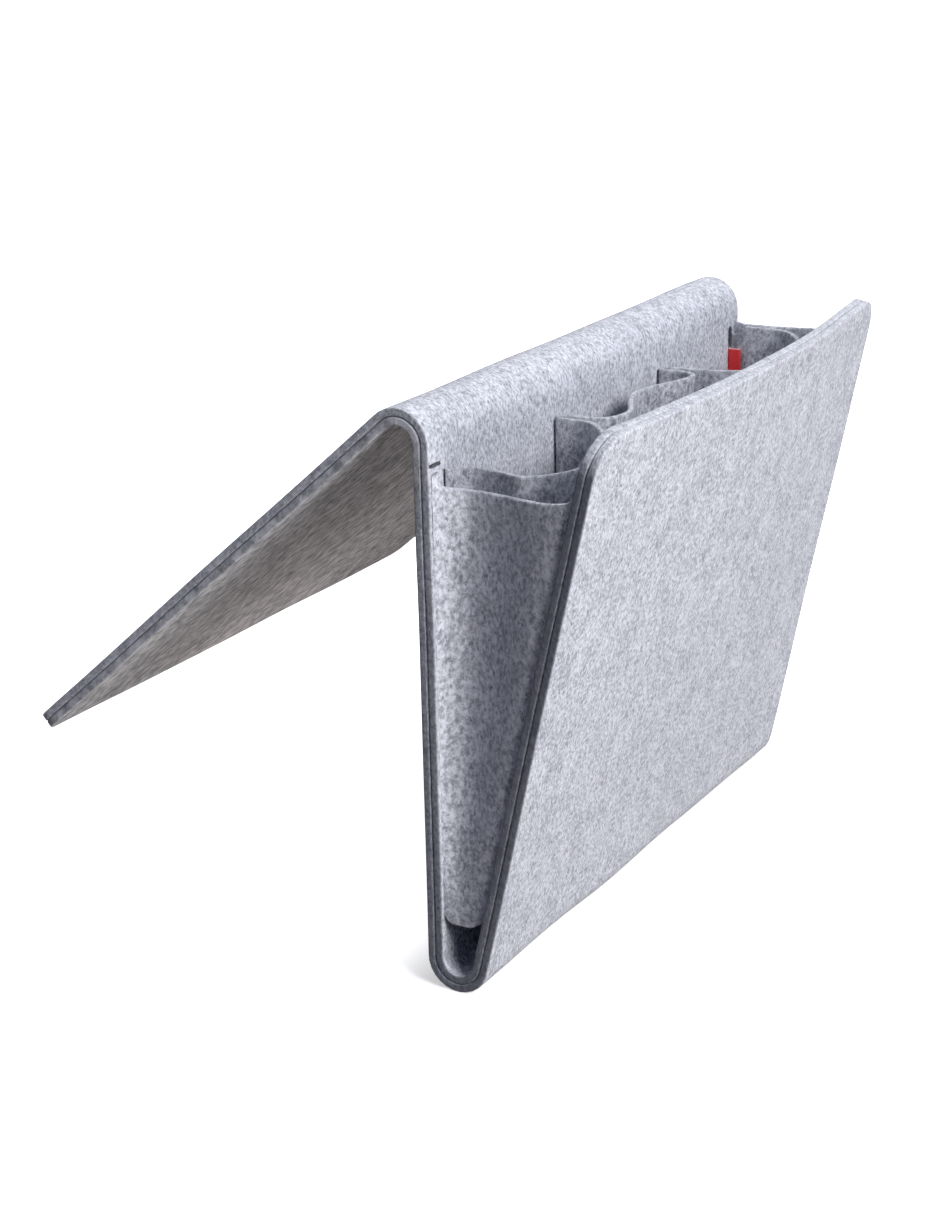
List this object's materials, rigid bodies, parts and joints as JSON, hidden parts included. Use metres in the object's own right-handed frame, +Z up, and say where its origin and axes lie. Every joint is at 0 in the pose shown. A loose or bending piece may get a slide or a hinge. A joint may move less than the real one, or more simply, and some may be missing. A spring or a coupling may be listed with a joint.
{
  "type": "bedside caddy",
  "caption": "Grey felt bedside caddy with a flap to tuck under a mattress, a deep pocket with folded end gussets and inner pen and phone loops.",
  "frame": {"origin": "on the axis of the ridge fold, half-way along it", "axes": "+X along the bed, +Y from the pocket towards the bed, +Z up"},
  "size_m": [0.32, 0.3002, 0.2599],
  "materials": {
    "body_felt": "matte felt",
    "lining_felt": "matte felt",
    "red_ribbon": "woven ribbon",
    "dark_thread": "twisted thread"
  },
  "bodies": {
    "back": {"back_pocket_ply": "body_felt", "back_bed_ply": "body_felt", "ridge_outer_ply": "body_felt", "ridge_inner_ply": "body_felt", "bend_inner_ply": "body_felt", "bend_outer_ply": "body_felt", "left_gusset": "lining_felt", "right_gusset": "lining_felt", "pocket_strip": "lining_felt", "side_tab": "red_ribbon", "left_bar_tack": "dark_thread", "right_bar_tack": "dark_thread"},
    "flap": {"flap_top_ply": "body_felt", "flap_under_ply": "body_felt"},
    "front": {"front_inner_ply": "body_felt", "front_outer_ply": "body_felt"}
  },
  "joints": [
    {"name": "flap_fold", "type": "hinge", "parent": "back", "child": "flap", "pos_m": [0, 0, 0], "axis": [1, 0, 0], "range_deg": [-44, 42], "stiffness_Nm_per_rad": 2.5, "springref_deg": 3.72, "deforming": ["ridge_outer_ply", "ridge_inner_ply"]},
    {"name": "front_swing", "type": "hinge", "parent": "back", "child": "front", "pos_m": [0, -0.02772, -0.23], "axis": [1, 0, 0], "range_deg": [-8, 1], "stiffness_Nm_per_rad": 3, "springref_deg": -1.15, "deforming": ["bend_inner_ply", "bend_outer_ply", "left_gusset", "right_gusset", "pocket_strip"]}
  ]
}
